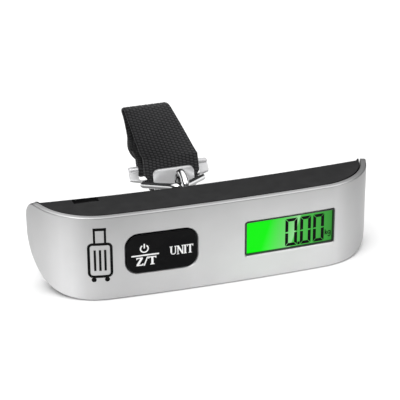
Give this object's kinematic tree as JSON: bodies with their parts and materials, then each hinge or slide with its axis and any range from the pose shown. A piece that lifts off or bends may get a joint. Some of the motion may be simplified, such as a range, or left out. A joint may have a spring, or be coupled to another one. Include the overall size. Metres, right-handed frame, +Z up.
{
  "type": "digital luggage scale",
  "caption": "Hand-held luggage scale with a bent silver face, backlit display and key pad on a black housing, and a webbing loop with a plate hook on a ring and swivel eye.",
  "frame": {"origin": "on the flat underside of the housing, under the middle of the scale's length", "axes": "+X to the display side along the length, -Y out of the face, +Z up from the underside"},
  "size_m": [0.15, 0.0758, 0.0571],
  "materials": {
    "silver": "satin",
    "black": "matte",
    "gloss_black": "gloss",
    "dark": "satin",
    "lcd": "gloss",
    "glow": "satin",
    "board": "satin",
    "rubber": "matte",
    "film": "satin",
    "red": "satin",
    "aluminium": "satin",
    "steel": "satin",
    "chrome": "polished",
    "webbing": "matte"
  },
  "bodies": {
    "housing": {"front_shell": "silver", "rear_housing": "black", "lcd_frame": "dark", "lcd_glass": "lcd", "backlight": "glow", "lcd_connector": "rubber", "circuit_board": "board", "controller_chip": "dark", "switch_power": "dark", "switch_unit": "dark", "load_cell": "aluminium", "strain_gauge": "film", "cell_screw_inner": "steel", "cell_screw_outer": "steel", "sensor_cable": "film", "eye_bush": "rubber", "battery_tray": "dark", "coin_cell": "steel", "contact_positive": "steel", "contact_negative": "steel", "battery_wire_positive": "red", "battery_wire_negative": "dark", "case_screw_1": "steel", "case_screw_2": "steel", "case_screw_3": "steel", "case_screw_4": "steel"},
    "door": {"battery_door": "black"},
    "keys": {"keypad_rocker": "gloss_black"},
    "power_key": {"plunger_power": "dark"},
    "unit_key": {"plunger_unit": "dark"},
    "eye": {"load_eye": "chrome", "eye_washer": "steel", "eye_nut": "steel"},
    "link": {"ring": "chrome"},
    "loop": {"strap": "webbing"},
    "catch": {"hook": "chrome"}
  },
  "joints": [
    {"name": "eye_swivel", "type": "hinge", "parent": "housing", "child": "eye", "pos_m": [-0.0065, 0.012, 0.029], "axis": [0, 1, 0], "range_deg": [-45, 45]},
    {"name": "ring_swing", "type": "hinge", "parent": "eye", "child": "link", "pos_m": [-0.00698, 0.02189, 0.03002], "axis": [0.9932, -0.1044, 0.0523], "range_deg": [-30, 45]},
    {"name": "strap_swing", "type": "hinge", "parent": "link", "child": "loop", "pos_m": [-0.0039, 0.043, 0.0235], "axis": [0.9932, -0.1044, 0.0523], "range_deg": [-35, 3]},
    {"name": "hook_swing", "type": "hinge", "parent": "loop", "child": "catch", "pos_m": [-0.00296, 0.05316, 0.026], "axis": [0.9932, -0.1044, 0.0523], "range_deg": [0, 50]},
    {"name": "door_hinge", "type": "hinge", "parent": "housing", "child": "door", "pos_m": [-0.05175, 0.01152, 0.0099], "axis": [-1, 0, 0], "range_deg": [0, 55]},
    {"name": "key_rock", "type": "hinge", "parent": "housing", "child": "keys", "pos_m": [-0.0254, -0.0116, 0.0191], "axis": [0, 0, 1], "range_deg": [-1.5, 1.5], "stiffness_Nm_per_rad": 0.3},
    {"name": "power_press", "type": "slide", "parent": "housing", "child": "power_key", "axis": [0, 1, 0], "range_m": [0, 0.0002], "stiffness_N_per_m": 2000},
    {"name": "unit_press", "type": "slide", "parent": "housing", "child": "unit_key", "axis": [0, 1, 0], "range_m": [0, 0.0002], "stiffness_N_per_m": 2000}
  ]
}
